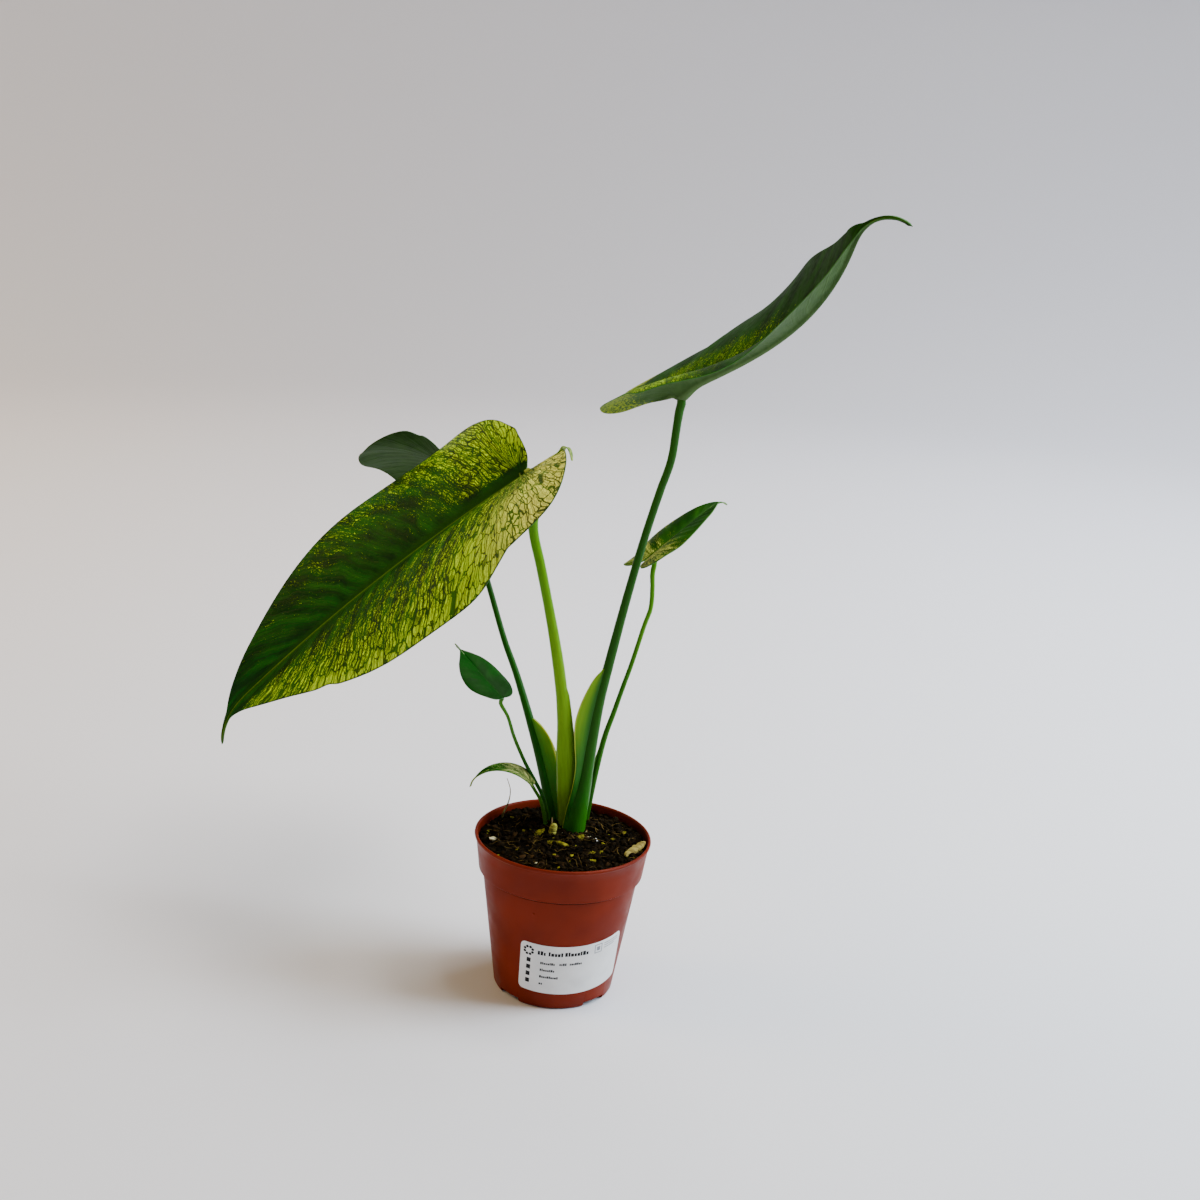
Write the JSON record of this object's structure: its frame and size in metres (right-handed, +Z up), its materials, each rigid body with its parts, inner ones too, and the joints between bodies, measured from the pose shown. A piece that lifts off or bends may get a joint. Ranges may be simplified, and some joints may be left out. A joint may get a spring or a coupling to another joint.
{
  "type": "potted variegated monstera",
  "caption": "Potted variegated monstera: heart-shaped leaves with pointed tips, flecked yellow and cream, on slender stalks in a tapered round plastic nursery pot with a label.",
  "frame": {"origin": "centre of the pot's flat base, on the surface that it stands on", "axes": "+Z up along the pot's axis, -Y towards the front of the plant, where the label is seen"},
  "size_m": [0.4038, 0.3934, 0.5442],
  "materials": {
    "leaf_large_blade": "leathery leaf blade, satin upper face, matte lower face, speckled with yellow and cream",
    "leaf_large_stalk": "smooth green leafstalk, satin",
    "leaf_high_blade": "leathery leaf blade, satin upper face, matte lower face, speckled with yellow and cream",
    "leaf_high_stalk": "smooth green leafstalk, satin",
    "leaf_small_right_blade": "leathery leaf blade, satin upper face, matte lower face, speckled with yellow and cream",
    "leaf_small_right_stalk": "smooth green leafstalk, satin",
    "leaf_back_blade": "leathery leaf blade, satin upper face, matte lower face",
    "leaf_back_stalk": "smooth green leafstalk, satin",
    "leaf_plain_blade": "leathery leaf blade, satin upper face, matte lower face",
    "leaf_plain_stalk": "smooth green leafstalk, satin",
    "leaf_curled_blade": "leathery leaf blade, satin upper face, matte lower face, speckled with yellow and cream",
    "leaf_curled_stalk": "smooth green leafstalk, satin",
    "old_stem_stub": "dry ringed stem, matte",
    "dried_root": "dry fibre, matte",
    "bark_flake": "pale dry wood, matte",
    "soil": "dark moist peat mix with fibres, chips and white grit, matte",
    "pot": "thin terracotta-coloured plastic, satin",
    "label": "white paper label, matte, with plain printed marks"
  },
  "bodies": {
    "root": {"leaf_large_blade": "leaf_large_blade", "leaf_large_stalk": "leaf_large_stalk", "leaf_high_blade": "leaf_high_blade", "leaf_high_stalk": "leaf_high_stalk", "leaf_small_right_blade": "leaf_small_right_blade", "leaf_small_right_stalk": "leaf_small_right_stalk", "leaf_back_blade": "leaf_back_blade", "leaf_back_stalk": "leaf_back_stalk", "leaf_plain_blade": "leaf_plain_blade", "leaf_plain_stalk": "leaf_plain_stalk", "leaf_curled_blade": "leaf_curled_blade", "leaf_curled_stalk": "leaf_curled_stalk", "old_stem_stub": "old_stem_stub", "dried_root": "dried_root", "bark_flake": "bark_flake", "soil": "soil", "pot": "pot", "label": "label"}
  },
  "joints": []
}
